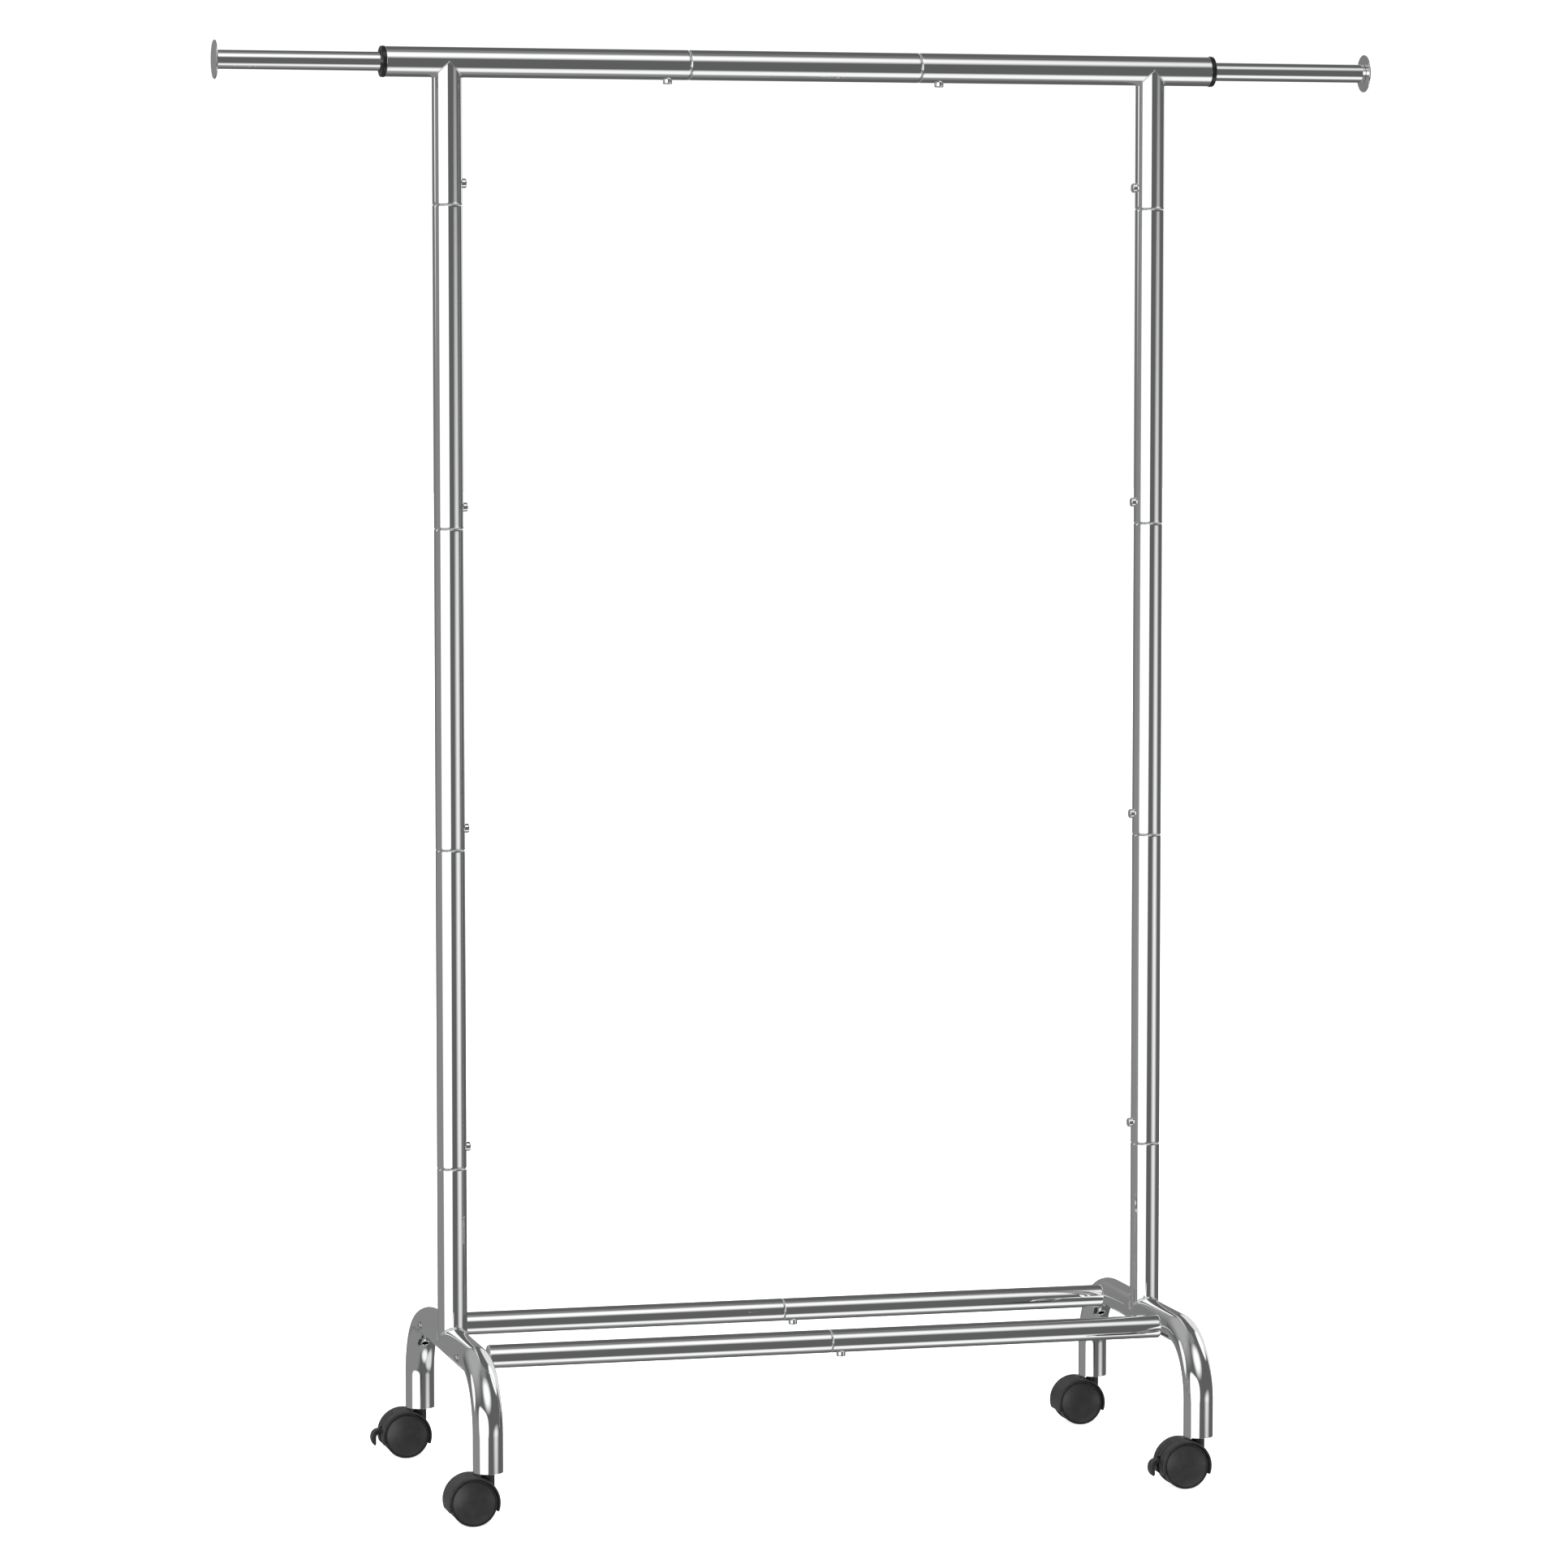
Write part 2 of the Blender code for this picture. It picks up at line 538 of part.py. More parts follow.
def build_wheel(name, axle, side, sign):
    """One of the twin wheels, on a flat of its tread: a domed disc inside a rounded tyre."""
    outside = WHEEL_INNER_Y + WHEEL_WIDTH
    inside = WHEEL_INNER_Y
    corner_r = WHEEL_R / math.cos(math.pi / WHEEL_SIDES)
    bore = AXLE_R + 0.2 * MM
    profile = [(bore, outside - 2 * MM), (WHEEL_DISC_R * 0.6, outside - 0.6 * MM),
               (WHEEL_DISC_R, outside - 1.2 * MM), (corner_r - 1 * MM, outside - 1 * MM),
               (corner_r, outside - 2.2 * MM), (corner_r, inside + 1.5 * MM),
               (corner_r - 1.5 * MM, inside), (bore, inside)]
    half_side = math.pi / WHEEL_SIDES
    wheel = turned("wheel", profile, WHEEL_SIDES, axle, Vector((0, sign, 0)), parts, half_side)
    thing = solid(wheel, f"{name}_wheel_{side}", black)
    set_origin(thing, axle)


def build_lever(name, axle):
    """Brake lever: a root that turns on two trunnions in the hood's web, and a hooked foot tab."""
    x, y, z = axle
    pivot = Vector((x + LEVER_PIVOT[0], y, z + LEVER_PIVOT[1]))
    outline = [(-28.4, 6.8), (-31.2, 6.9), (-34.4, 5.4), (-37.2, 2.2), (-38.0, -2.0), (-37.5, -6.6),
               (-34.4, -11.4), (-32.9, -8.2), (-33.1, -4.6), (-32.9, -0.8), (-31.7, 1.6), (-29.6, 2.2)]
    tab = extruded(name + "_tab", [(x + a * MM, z + b * MM) for a, b in outline],
                   y - LEVER_TAB_HALF_WIDTH, y + LEVER_TAB_HALF_WIDTH, cutters)
    root_outline = [(-20.8, 6.6), (-30.4, 6.6), (-30.4, 2.6), (-20.8, 2.4)]
    root = extruded("lever", [(x + a * MM, z + b * MM) for a, b in root_outline],
                    y - LEVER_HALF_WIDTH, y + LEVER_HALF_WIDTH, parts)
    trunnions = turned(name + "_trunnions", rod_profile(TRUNNION_R, -TRUNNION_REACH, TRUNNION_REACH),
                       12, pivot, Y_AXIS, cutters)
    combine(root, [tab, trunnions], "UNION")
    thing = solid(root, name + "_brake_lever", black)
    set_origin(thing, pivot)


def extruded(name, outline, low_y, high_y, collection):
    """A flat outline in X and Z, thickened along Y."""
    block = bmesh.new()
    corners = [block.verts.new((x, low_y, z)) for x, z in outline]
    face = block.faces.new(corners)
    grown = bmesh.ops.extrude_face_region(block, geom=[face])
    moved = [item for item in grown["geom"] if isinstance(item, bmesh.types.BMVert)]
    bmesh.ops.translate(block, vec=(0, high_y - low_y, 0), verts=moved)
    bmesh.ops.recalc_face_normals(block, faces=block.faces)
    mesh = bpy.data.meshes.new(name)
    block.to_mesh(mesh)
    block.free()
    thing = bpy.data.objects.new(name, mesh)
    collection.objects.link(thing)
    return thing


def build_casters():
    """Four casters, all trailing towards -X. The front right and rear left ones have brakes."""
    braked = {("left", "rear"), ("right", "front")}
    for side, sign in SIDES.items():
        for end, front in ENDS.items():
            name = f"{end}_{side}"
            swivel = (sign * UPRIGHT_X, front * LEG_Y, 0)
            axle = (sign * UPRIGHT_X - TRAIL, front * LEG_Y, WHEEL_R)
            has_brake = (side, end) in braked
            build_stem(name, swivel)
            build_hood(name, swivel, axle, has_brake)
            pin = turned("axle", rod_profile(AXLE_R, -AXLE_HALF_LENGTH, AXLE_HALF_LENGTH), SMALL_SIDES,
                         axle, Y_AXIS, parts)
            solid(pin, name + "_axle", zinc)
            build_wheel(name, axle, "outer", front)
            build_wheel(name, axle, "inner", -front)
            if has_brake:
                build_lever(name, axle)


clear_scene()
parts = new_collection("rolling_clothes_rack")
cutters = new_collection("cutters")
chrome = new_material("chrome", (0.78, 0.78, 0.79), 0.08, 1.0)
zinc = new_material("zinc_steel", (0.62, 0.62, 0.63), 0.28, 1.0)
black = new_material("black_plastic", (0.045, 0.045, 0.047), 0.45, 0.0)

build_leg_frames()
build_uprights()
build_top_tees()
build_centre_bar()
build_rods()
build_rails()
build_rail_bolts()
build_snap_buttons()
build_casters()

for cutter in cutters.objects:
    cutter.hide_render = True
    cutter.display_type = "WIRE"
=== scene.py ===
"""Rolling clothes rack: plated steel tubes that plug together, on four twin-wheel casters.

Metres, +Z up, +X along the hanging bar, -Y is the front.
"""
import math

import bpy
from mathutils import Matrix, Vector


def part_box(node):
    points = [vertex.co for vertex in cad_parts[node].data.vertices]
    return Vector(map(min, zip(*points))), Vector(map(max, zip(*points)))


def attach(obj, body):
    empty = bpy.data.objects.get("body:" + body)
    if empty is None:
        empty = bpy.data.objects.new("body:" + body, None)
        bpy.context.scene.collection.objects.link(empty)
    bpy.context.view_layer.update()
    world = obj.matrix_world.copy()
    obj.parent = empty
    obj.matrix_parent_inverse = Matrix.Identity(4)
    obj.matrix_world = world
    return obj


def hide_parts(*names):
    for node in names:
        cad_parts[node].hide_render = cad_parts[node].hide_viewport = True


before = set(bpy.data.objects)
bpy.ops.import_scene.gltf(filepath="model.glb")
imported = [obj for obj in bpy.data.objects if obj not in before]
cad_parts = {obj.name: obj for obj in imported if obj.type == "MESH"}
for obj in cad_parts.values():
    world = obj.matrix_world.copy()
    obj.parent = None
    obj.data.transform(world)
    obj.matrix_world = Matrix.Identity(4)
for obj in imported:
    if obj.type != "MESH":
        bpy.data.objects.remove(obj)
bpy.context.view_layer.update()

MM = 0.001


# ---- Leg frames
# Each leg frame is one length of 32 mm steel tube bent into an upside-down U, with a short
# upright socket coped over its middle and welded on. The whole of it is chromium plated.

tube_r = 16 * MM
tube_wall = 1.2 * MM
arch_low, arch_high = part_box("left_leg_frame")
leg_x = (arch_low.x + arch_high.x) / 2
leg_y = arch_high.y - tube_r
foot_z = arch_low.z
rail_low, rail_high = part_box("front_rail_left")
arch_z = (rail_low.z + rail_high.z) / 2
rail_y = (rail_low.y + rail_high.y) / 2
seam_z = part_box("left_upright_lower")[0].z
gap = 0.3 * MM                      # clearance between pieces that fit together
bend_r = 68 * MM
plug_length = 44 * MM               # drawn-down end that goes into the next tube
plug_r = tube_r - tube_wall - gap
lip = 1.5 * MM                      # rounding of a cut tube end
button_hole_r = 5.3 * MM


def node(tree, kind, **settings):
    """Adds a shader node and sets what is given on it."""
    added = tree.nodes.new(kind)
    for name, value in settings.items():
        setattr(added, name, value)
    return added


def new_finish(name):
    """A new material and its Principled shader."""
    finish = bpy.data.materials.new(name)
    finish.use_nodes = True
    return finish, finish.node_tree, finish.node_tree.nodes["Principled BSDF"]


def patches(tree, scale, detail, low, high):
    """Soft noise patches in object space, spread between two values."""
    place = node(tree, "ShaderNodeTexCoord")
    noise = node(tree, "ShaderNodeTexNoise")
    noise.inputs["Scale"].default_value = scale
    noise.inputs["Detail"].default_value = detail
    spread = node(tree, "ShaderNodeMapRange")
    spread.inputs["From Min"].default_value = 0.3
    spread.inputs["From Max"].default_value = 0.7
    spread.inputs["To Min"].default_value = low
    spread.inputs["To Max"].default_value = high
    tree.links.new(place.outputs["Object"], noise.inputs["Vector"])
    tree.links.new(noise.outputs["Fac"], spread.inputs["Value"])
    return spread.outputs["Result"]


def chrome_plate():
    """Bright chromium over polished steel: a hard mirror with a faint polishing haze."""
    finish, tree, shader = new_finish("chrome_plate")
    shader.inputs["Base Color"].default_value = (0.93, 0.935, 0.94, 1)
    shader.inputs["Metallic"].default_value = 1
    haze = patches(tree, 90, 3, 0.018, 0.045)
    tree.links.new(haze, shader.inputs["Roughness"])
    bump = node(tree, "ShaderNodeBump")
    bump.inputs["Strength"].default_value = 0.012
    bump.inputs["Distance"].default_value = 0.0004
    tree.links.new(patches(tree, 60, 1, 0, 1), bump.inputs["Height"])
    tree.links.new(bump.outputs["Normal"], shader.inputs["Normal"])
    return finish


chrome = chrome_plate()


def deselect():
    bpy.ops.object.select_all(action="DESELECT")


def hold(*pieces):
    """Selects only these pieces; the first is the active one."""
    deselect()
    for piece in pieces:
        piece.select_set(True)
    bpy.context.view_layer.objects.active = pieces[0]


def settle(piece, name, angle=35):
    """Puts a piece's place into its mesh and smooths its round faces."""
    hold(piece)
    piece.name = piece.data.name = name
    bpy.ops.object.transform_apply(location=True, rotation=True, scale=True)
    bpy.ops.object.shade_smooth_by_angle(angle=math.radians(angle))
    return piece


def close_up():
    """In edit mode: merges doubles, drops loose edges and turns the faces outwards."""
    bpy.ops.mesh.select_all(action="SELECT")
    bpy.ops.mesh.remove_doubles(threshold=0.002 * MM)
    bpy.ops.mesh.delete_loose(use_verts=True, use_edges=True, use_faces=False)
    bpy.ops.mesh.select_all(action="SELECT")
    bpy.ops.mesh.normals_make_consistent(inside=False)


def eased(before, corner, after, radius, steps=5):
    """Points that round one corner of a section."""
    corner = Vector(corner)
    back = (Vector(before) - corner).normalized()
    on = (Vector(after) - corner).normalized()
    half = back.angle(on) / 2
    reach = radius / math.tan(half)
    centre = corner + (back + on).normalized() * radius / math.sin(half)
    first, last = corner + back * reach - centre, corner + on * reach - centre
    turn = first.angle_signed(last)
    points = [corner + back * (reach + radius)]
    for step in range(steps + 1):
        angle = -turn * step / steps
        points.append(centre + Vector((first.x * math.cos(angle) - first.y * math.sin(angle),
                                       first.x * math.sin(angle) + first.y * math.cos(angle))))
    points.append(corner + on * (reach + radius))
    return points


def turned(name, section, centre, axis, steps):
    """A lathe-turned or drawn piece: half its section is drawn point by point, then spun.

    The section is (radius, place along the axis, rounding) and closes on itself or on the axis.
    """
    axis = Vector(axis)
    across = axis.orthogonal().normalized()
    corners = [Vector(point[:2]) for point in section]
    on_axis = corners[0].x == 0
    outline = []
    for index, point in enumerate(section):
        if len(point) == 3:
            outline += eased(corners[index - 1], corners[index],
                             corners[(index + 1) % len(corners)], point[2])
        else:
            outline.append(corners[index])
    if not on_axis:
        outline.append(outline[0])
    places = [Vector(centre) + across * point.x + axis * point.y for point in outline]
    deselect()
    bpy.ops.mesh.primitive_plane_add(size=MM, location=places[0])
    bpy.ops.object.mode_set(mode="EDIT")
    bpy.ops.mesh.merge(type="CENTER")
    for here, there in zip(places, places[1:]):
        bpy.ops.mesh.extrude_vertices_move(TRANSFORM_OT_translate={"value": there - here})
    bpy.ops.mesh.select_all(action="SELECT")
    bpy.ops.mesh.spin(steps=steps, angle=2 * math.pi, center=Vector(centre), axis=axis)
    close_up()
    bpy.ops.object.mode_set(mode="OBJECT")
    return settle(bpy.context.object, name)


def apply_modifier(piece, kind, **settings):
    """Puts a modifier on a piece and applies it."""
    hold(piece)
    bpy.ops.object.modifier_add(type=kind)
    modifier = piece.modifiers[-1]
    for name, value in settings.items():
        setattr(modifier, name, value)
    bpy.ops.object.modifier_apply(modifier=modifier.name)


def duplicate(piece, name, shift=(0, 0, 0), turn=0):
    """A copy with its own mesh, turned about the rack's middle and then moved."""
    hold(piece)
    bpy.ops.object.duplicate(linked=False)
    twin = bpy.context.object
    if turn:
        bpy.ops.transform.rotate(value=turn, orient_axis="Z", center_override=(0, 0, 0))
    bpy.ops.transform.translate(value=shift)
    twin.name = twin.data.name = name
    bpy.ops.object.transform_apply(location=True, rotation=True, scale=True)
    return twin


def drilled(piece, holes):
    """Round holes through a wall: (centre, direction, radius, depth). The shine stays even."""
    master = duplicate(piece, "before_drilling")
    for centre, direction, radius, depth in holes:
        turn = Vector((0, 0, 1)).rotation_difference(Vector(direction)).to_euler()
        deselect()
        bpy.ops.mesh.primitive_cylinder_add(vertices=40, radius=radius, depth=depth,
                                            location=centre, rotation=turn)
        drill = bpy.context.object
        apply_modifier(piece, "BOOLEAN", operation="DIFFERENCE", solver="EXACT", object=drill)
        bpy.data.objects.remove(drill)
    hold(piece)
    bpy.ops.object.shade_smooth_by_angle(angle=math.radians(35))
    apply_modifier(piece, "DATA_TRANSFER", object=master, use_loop_data=True,
                   data_types_loops={"CUSTOM_NORMAL"}, loop_mapping="POLYINTERP_NEAREST")
    bpy.data.objects.remove(master)
    return piece


def fit(piece, body, material, slot, *nodes):
    """Gives a finished piece its material and its body, and hides the CAD nodes it stands for."""
    piece.data.materials.clear()
    piece.data.materials.append(material)
    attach(piece, body)
    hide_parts(*nodes)
    return piece


def weld_bead(name, centre, axis, across, radius, bead):
    """A thin ground-down weld along the line where two tubes of one size meet."""
    deselect()
    bpy.ops.mesh.primitive_circle_add(vertices=96, radius=radius, location=(0, 0, 0))
    ring = bpy.context.object
    axis, across = Vector(axis), Vector(across)
    along = axis.cross(across)
    for corner in ring.data.vertices:
        side, run = corner.co.x, corner.co.y
        height = math.sqrt(max(radius ** 2 - side ** 2, 0))
        corner.co = Vector(centre) + across * side + along * run + axis * height
    bpy.ops.object.convert(target="CURVE")
    line = bpy.context.object
    line.data.bevel_depth = bead
    line.data.bevel_resolution = 2
    bpy.ops.object.convert(target="MESH")
    bpy.ops.object.mode_set(mode="EDIT")
    close_up()
    bpy.ops.object.mode_set(mode="OBJECT")
    return settle(bpy.context.object, name, 60)


def drawn_plug(seam):
    """Section of a tube end that is drawn down to plug into the next tube."""
    tip = seam + plug_length
    bore = plug_r - tube_wall
    return [(tube_r, seam, lip), (plug_r, seam), (plug_r, tip, MM),
            (bore, tip), (bore, seam + 3 * MM), (tube_r - tube_wall, seam - 4 * MM)]


# The arch is bent from one straight length: a circle drawn up, round, across, round and down.
deselect()
bpy.ops.mesh.primitive_circle_add(vertices=96, radius=tube_r, location=(leg_x, -leg_y, foot_z))
arch = bpy.context.object
bpy.ops.object.mode_set(mode="EDIT")
straight = arch_z - bend_r - foot_z
across_top = 2 * (leg_y - bend_r)
bpy.ops.mesh.extrude_region_move(TRANSFORM_OT_translate={"value": (0, 0, straight)})
bpy.ops.mesh.spin(steps=28, angle=math.pi / 2, axis=(1, 0, 0),
                  center=(leg_x, -leg_y + bend_r, arch_z - bend_r))
bpy.ops.mesh.extrude_region_move(TRANSFORM_OT_translate={"value": (0, across_top, 0)})
bpy.ops.mesh.spin(steps=28, angle=math.pi / 2, axis=(1, 0, 0),
                  center=(leg_x, leg_y - bend_r, arch_z - bend_r))
bpy.ops.mesh.extrude_region_move(TRANSFORM_OT_translate={"value": (0, 0, -straight)})
close_up()
bpy.ops.object.mode_set(mode="OBJECT")
settle(arch, "left_leg_frame_tube")
apply_modifier(arch, "SOLIDIFY", thickness=tube_wall, offset=-1, use_rim=True)
apply_modifier(arch, "BEVEL", width=0.35 * MM, segments=3, limit_method="ANGLE",
               angle_limit=math.radians(50), harden_normals=True)

vent_angle = math.radians(48)
vent_r = 4 * MM
rim_bead = 0.85 * MM                # rolled edge of a vent
arch_holes = []
for end in (-1, 1):
    towards = Vector((0, end * math.cos(vent_angle), math.sin(vent_angle)))
    bend_centre = Vector((leg_x, end * (leg_y - bend_r), arch_z - bend_r))
    arch_holes.append((bend_centre + towards * (bend_r - tube_r), towards, vent_r, 9 * MM))
drilled(arch, arch_holes)
rims = []
for centre, towards, radius, depth in arch_holes:
    deselect()
    bpy.ops.mesh.primitive_torus_add(
        major_segments=48, minor_segments=12, major_radius=radius + 0.25 * MM,
        minor_radius=rim_bead, location=centre + towards * 0.3 * MM,
        rotation=Vector((0, 0, 1)).rotation_difference(towards).to_euler())
    rims.append(settle(bpy.context.object, "vent_rim", 60))

socket = turned("leg_socket",
                drawn_plug(seam_z) + [(tube_r - tube_wall, arch_z), (tube_r, arch_z),
                                      (tube_r, arch_z + 0.4 * MM)],
                (leg_x, 0, 0), (0, 0, 1), 96)
button_up = 23 * MM                 # each button sits this far past its seam
drilled(socket, [((leg_x + plug_r, 0, seam_z + button_up), (1, 0, 0), button_hole_r, 6 * MM)])
bead = weld_bead("arch_weld", (leg_x, 0, arch_z), (0, 0, 1), (1, 0, 0), tube_r, 1.4 * MM)
hold(arch, socket, bead, *rims)
bpy.ops.object.join()
fit(arch, "frame", chrome, "chrome", "left_leg_frame")
right_arch = duplicate(arch, "right_leg_frame_tube", turn=math.pi)
fit(right_arch, "frame", chrome, "chrome", "right_leg_frame")


# ---- Uprights
# Three straight lengths of the same tube a side. The upper end of each is drawn down so that
# it plugs into the one above, and each has a hole for the spring button of the joint below.

section_length = 344 * MM
upright = turned("left_upright_lower_tube",
                 [(tube_r, seam_z, lip)] + drawn_plug(seam_z + section_length)
                 + [(tube_r - tube_wall, seam_z)],
                 (leg_x, 0, 0), (0, 0, 1), 96)
drilled(upright, [((leg_x + tube_r, 0, seam_z + button_up), (1, 0, 0), button_hole_r, 8 * MM),
                  ((leg_x + plug_r, 0, seam_z + section_length + button_up), (1, 0, 0),
                   button_hole_r, 6 * MM)])
for side, turn in (("left", 0), ("right", math.pi)):
    for number, part in enumerate(("lower", "middle", "upper")):
        name = f"{side}_upright_{part}"
        piece = upright
        if name != "left_upright_lower":
            piece = duplicate(upright, name + "_tube", (0, 0, number * section_length), turn)
        fit(piece, "frame", chrome, "chrome", name)


# ---- Hanging bar
# A centre tube that plugs into two tees. Each tee is an end of the bar with a short socket
# coped and welded under it, which takes the top of the upright.

bar_z = (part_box("centre_bar")[0].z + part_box("centre_bar")[1].z) / 2
bar_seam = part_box("right_top_tee")[0].x
bar_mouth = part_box("right_top_tee")[1].x
top_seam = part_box("right_top_tee")[0].z

tee = turned("right_top_tee_tube",
             [(tube_r - tube_wall, bar_seam), (tube_r, bar_seam, lip),
              (tube_r, bar_mouth, 0.5 * MM), (tube_r - tube_wall, bar_mouth)],
             (0, 0, bar_z), (1, 0, 0), 96)
drilled(tee, [((bar_seam + button_up, 0, bar_z - tube_r), (0, 0, -1), button_hole_r, 8 * MM)])
tee_socket = turned("tee_socket",
                    [(tube_r, top_seam, lip), (tube_r, bar_z - 0.4 * MM), (tube_r, bar_z),
                     (tube_r - tube_wall, bar_z), (tube_r - tube_wall, top_seam)],
                    (-leg_x, 0, 0), (0, 0, 1), 96)
drilled(tee_socket, [((-leg_x - tube_r, 0, top_seam + button_up), (-1, 0, 0),
                      button_hole_r, 8 * MM)])
bead = weld_bead("tee_weld", (-leg_x, 0, bar_z), (0, 0, -1), (0, 1, 0), tube_r, 0.7 * MM)
hold(tee, tee_socket, bead)
bpy.ops.object.join()
fit(tee, "frame", chrome, "chrome", "right_top_tee")
fit(duplicate(tee, "left_top_tee_tube", turn=math.pi), "frame", chrome, "chrome", "left_top_tee")

bar_end = drawn_plug(bar_seam)
other_end = [(point[0], -point[1], *point[2:]) for point in reversed(bar_end)]
centre_bar = turned("centre_bar_tube", bar_end + other_end, (0, 0, bar_z), (1, 0, 0), 96)
drilled(centre_bar, [((side * (bar_seam + button_up), 0, bar_z - plug_r), (0, 0, -1),
                      button_hole_r, 6 * MM) for side in (-1, 1)])
fit(centre_bar, "frame", chrome, "chrome", "centre_bar")


# ---- Bottom rails
# Two thinner tubes, each in two halves that plug together in the middle. Their ends are
# plugged and threaded, and the edge of each end is rolled over.

rail_r = 12.5 * MM
rail_wall = 1 * MM
rail_end = -rail_low.x
rail_plug_r = rail_r - rail_wall - gap
rail_bore = rail_plug_r - rail_wall
thread_r = 3.2 * MM
rail_plug_length = 30 * MM
thread_depth = 30 * MM
rail_seam = rail_high.x - rail_plug_length
rail_mouth = rail_seam + gap
left_rail = turned("front_rail_left_tube",
                   [(thread_r, -rail_end), (rail_r, -rail_end, 1.6 * MM),
                    (rail_r, rail_seam, MM), (rail_plug_r, rail_seam),
                    (rail_plug_r, rail_high.x, 0.8 * MM), (rail_bore, rail_high.x),
                    (rail_bore, thread_depth - rail_end), (thread_r, thread_depth - rail_end)],
                   (0, rail_y, arch_z), (1, 0, 0), 80)
right_rail = turned("front_rail_right_tube",
                    [(rail_r - rail_wall, rail_mouth), (rail_r, rail_mouth, MM),
                     (rail_r, rail_end, 1.6 * MM), (thread_r, rail_end),
                     (thread_r, rail_end - thread_depth),
                     (rail_r - rail_wall, rail_end - thread_depth)],
                    (0, rail_y, arch_z), (1, 0, 0), 80)
rail_button_x = rail_seam + 12.2 * MM
drilled(left_rail, [((rail_button_x, rail_y, arch_z - rail_plug_r), (0, 0, -1),
                     button_hole_r, 5 * MM)])
drilled(right_rail, [((rail_button_x, rail_y, arch_z - rail_r), (0, 0, -1),
                      button_hole_r, 6 * MM)])
for half, rail in (("left", left_rail), ("right", right_rail)):
    fit(rail, "frame", chrome, "chrome", f"front_rail_{half}")
    rear = duplicate(rail, f"rear_rail_{half}_tube", (0, -2 * rail_y, 0))
    fit(rear, "frame", chrome, "chrome", f"rear_rail_{half}")
    # Kept out of the other pieces' mirror, which shows only the studio
    rail.visible_glossy = rear.visible_glossy = False


# ---- Rail bolts
# A low domed bolt goes through each side of the arch into the plugged end of a rail.
# It is turned steel with a thin bright zinc plating.

def zinc_plate():
    """Bright zinc: a duller grey metal with a fine, slightly uneven grain."""
    finish, tree, shader = new_finish("zinc_plate")
    shader.inputs["Base Color"].default_value = (0.7, 0.71, 0.73, 1)
    shader.inputs["Metallic"].default_value = 1
    tree.links.new(patches(tree, 400, 3, 0.12, 0.26), shader.inputs["Roughness"])
    bump = node(tree, "ShaderNodeBump")
    bump.inputs["Strength"].default_value = 0.08
    bump.inputs["Distance"].default_value = 0.0002
    tree.links.new(patches(tree, 900, 2, 0, 1), bump.inputs["Height"])
    tree.links.new(bump.outputs["Normal"], shader.inputs["Normal"])
    return finish


zinc = zinc_plate()
bolt_low, bolt_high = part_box("front_left_rail_bolt")
head_r = 4.4 * MM
bolt_r = 3 * MM
head_face = leg_x - tube_r - gap
bolt = turned("front_left_bolt",
              [(0, -bolt_low.x), (head_r * 0.55, -bolt_low.x),
               (head_r, -head_face + 0.9 * MM, 0.7 * MM), (head_r, -head_face),
               (bolt_r, -head_face), (bolt_r, -bolt_high.x), (0, -bolt_high.x)],
              (0, rail_y, arch_z), (-1, 0, 0), 40)
for end, shift in (("front", 0), ("rear", -2 * rail_y)):
    for side, turn in (("left", 0), ("right", math.pi)):
        name = f"{end}_{side}_rail_bolt"
        piece = bolt
        if turn:                    # turned to the other side, it stands at the rear
            piece = duplicate(bolt, f"{end}_{side}_bolt", (0, 2 * rail_y + shift, 0), turn)
        elif end == "rear":
            piece = duplicate(bolt, "rear_left_bolt", (0, shift, 0))
        fit(piece, "frame", zinc, "zinc_steel", name)


# ---- Spring buttons
# A plated steel button on a spring leaf locks each plug joint. It stands out of the hole in
# the outer tube and has a wider foot that stays inside.

button_r = 5 * MM
button_proud = 4.4 * MM
foot_r, rail_foot_r = 6.4 * MM, 5.8 * MM
foot_thickness = 0.8 * MM


def spring_button(name, centre, outwards, proud_from, foot, top):
    """One button: a round pin with a softly rounded edge and a foot."""
    head = proud_from + button_proud
    return turned(name, [(0, head), (3 * MM, head), (button_r, head, 1.1 * MM),
                         (button_r, top), (foot, top), (foot, top - foot_thickness),
                         (0, top - foot_thickness)], centre, outwards, 48)


plug_bore = plug_r - tube_wall
foot_top = math.sqrt(plug_bore ** 2 - foot_r ** 2) - gap
button = spring_button("left_button_1_pin", (leg_x, 0, seam_z + button_up), (1, 0, 0), tube_r,
                       foot_r, foot_top)
for side, turn in (("left", 0), ("right", math.pi)):
    for number in range(1, 5):
        name = f"{side}_button_{number}"
        piece = button
        if name != "left_button_1":
            piece = duplicate(button, name + "_pin", (0, 0, (number - 1) * section_length), turn)
        fit(piece, name + "_body", chrome, "chrome", name)

bar_button = spring_button("right_bar_button_pin", (bar_seam + button_up, 0, bar_z), (0, 0, -1),
                           tube_r, foot_r, foot_top)
fit(bar_button, "right_bar_button_body", chrome, "chrome", "right_bar_button")
fit(duplicate(bar_button, "left_bar_button_pin", turn=math.pi), "left_bar_button_body",
    chrome, "chrome", "left_bar_button")

rail_foot_top = math.sqrt(rail_bore ** 2 - rail_foot_r ** 2) - gap
rail_button = spring_button("front_rail_button_pin", (rail_button_x, rail_y, arch_z), (0, 0, -1),
                            rail_r, rail_foot_r, rail_foot_top)
fit(rail_button, "front_rail_button_body", chrome, "chrome", "front_rail_button")
fit(duplicate(rail_button, "rear_rail_button_pin", (0, -2 * rail_y, 0)), "rear_rail_button_body",
    chrome, "chrome", "rear_rail_button")


# ---- Extending rods
# A thinner plated tube slides out of each end of the bar through a plastic collar. A pressed
# steel disc closes its outer end and keeps hangers on, and a ring inside the bar stops it.

